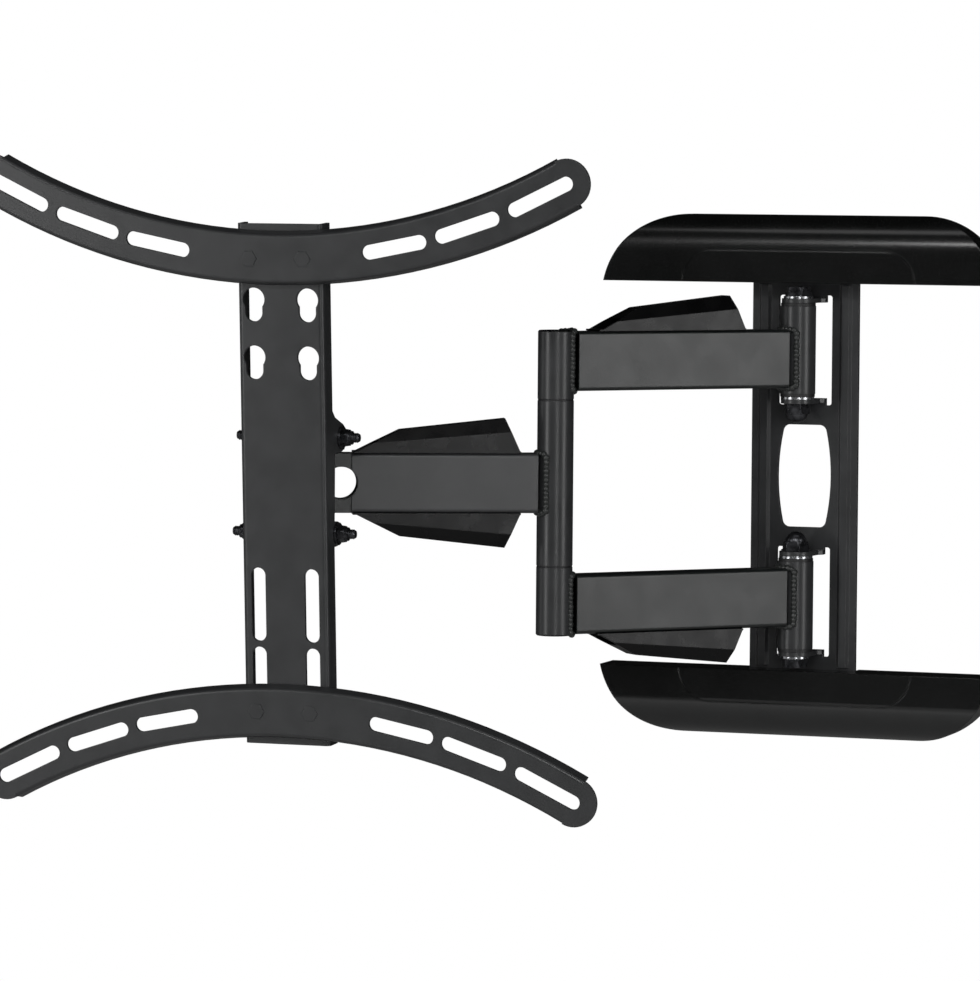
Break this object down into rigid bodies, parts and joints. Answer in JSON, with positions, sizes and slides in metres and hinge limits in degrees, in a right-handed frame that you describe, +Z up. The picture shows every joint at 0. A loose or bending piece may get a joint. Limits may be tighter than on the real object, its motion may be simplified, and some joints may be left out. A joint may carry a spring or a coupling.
{
  "type": "full motion screen wall mount",
  "caption": "Articulated steel wall mount for a flat screen, with twin rear arms, a front arm, a swivel yoke and a tilting head with curved screen arms.",
  "frame": {"origin": "centre of the four wall slots on the wall plane, behind the middle of the bracket", "axes": "+Z up the wall, +Y into the wall, +X to the right for a person facing the wall; the arms stand out along -Y"},
  "size_m": [0.634, 0.291, 0.4317],
  "materials": {
    "powder_coated_steel": "fine textured powder coat",
    "dark_powder_coated_steel": "fine textured powder coat, darker",
    "gloss_plastic": "gloss",
    "satin_plastic": "satin",
    "black_zinc_steel": "black zinc plate",
    "bright_zinc_steel": "bright zinc plate",
    "bearing_nylon": "matt"
  },
  "bodies": {
    "wall_bracket": {"wall_plate": "powder_coated_steel", "upper_rail": "dark_powder_coated_steel", "lower_rail": "dark_powder_coated_steel", "rail_rivets": "powder_coated_steel", "upper_wall_cover": "gloss_plastic", "lower_wall_cover": "gloss_plastic", "upper_hinge_bolt": "black_zinc_steel", "lower_hinge_bolt": "black_zinc_steel", "hinge_dome_nuts": "black_zinc_steel", "hinge_washers": "bright_zinc_steel"},
    "rear_arms": {"upper_rear_arm": "dark_powder_coated_steel", "lower_rear_arm": "dark_powder_coated_steel", "upper_hinge_sleeve": "powder_coated_steel", "lower_hinge_sleeve": "powder_coated_steel", "hinge_bushes": "bearing_nylon", "upper_elbow_sleeve": "powder_coated_steel", "lower_elbow_sleeve": "powder_coated_steel", "elbow_pin": "bright_zinc_steel", "elbow_caps": "satin_plastic", "upper_rear_cable_cover": "satin_plastic", "lower_rear_cable_cover": "satin_plastic"},
    "front_arm_link": {"front_arm": "powder_coated_steel", "middle_elbow_sleeve": "powder_coated_steel", "elbow_bushes": "bearing_nylon", "arm_end_fork": "dark_powder_coated_steel", "swivel_spacer": "bright_zinc_steel", "upper_front_cable_cover": "satin_plastic", "lower_front_cable_cover": "satin_plastic"},
    "swivel_head": {"swivel_yoke": "powder_coated_steel", "tilt_cheeks": "powder_coated_steel", "swivel_bolt": "black_zinc_steel", "swivel_nut": "black_zinc_steel", "swivel_washers": "bright_zinc_steel", "swivel_discs": "bearing_nylon"},
    "tilt_head": {"head_channel": "powder_coated_steel", "upper_screen_arm": "powder_coated_steel", "upper_arm_studs": "powder_coated_steel", "upper_arm_nuts": "black_zinc_steel", "tilt_bolts": "black_zinc_steel", "tilt_washers": "black_zinc_steel", "tilt_nuts": "black_zinc_steel", "tilt_discs": "bearing_nylon"},
    "sliding_screen_arm": {"lower_screen_arm": "powder_coated_steel", "lower_arm_studs": "powder_coated_steel", "lower_arm_nuts": "black_zinc_steel"}
  },
  "joints": [
    {"name": "shoulder_swing", "type": "hinge", "parent": "wall_bracket", "child": "rear_arms", "pos_m": [0, -0.0265, 0], "axis": [0, 0, 1], "range_deg": [-46, 134]},
    {"name": "elbow_fold", "type": "hinge", "parent": "rear_arms", "child": "front_arm_link", "pos_m": [-0.12851, -0.15958, 0], "axis": [0, 0, 1], "range_deg": [-40, 170]},
    {"name": "head_swivel", "type": "hinge", "parent": "front_arm_link", "child": "swivel_head", "pos_m": [-0.27925, -0.22669, 0], "axis": [0, 0, -1], "range_deg": [-18, 150]},
    {"name": "head_tilt", "type": "hinge", "parent": "swivel_head", "child": "tilt_head", "pos_m": [-0.27925, -0.24889, -0.032], "axis": [1, 0, 0], "range_deg": [-8, 6.5]},
    {"name": "lower_arm_slide", "type": "slide", "parent": "tilt_head", "child": "sliding_screen_arm", "axis": [0, -0.061, 0.9981], "range_m": [-0.0076, 0.037]}
  ]
}
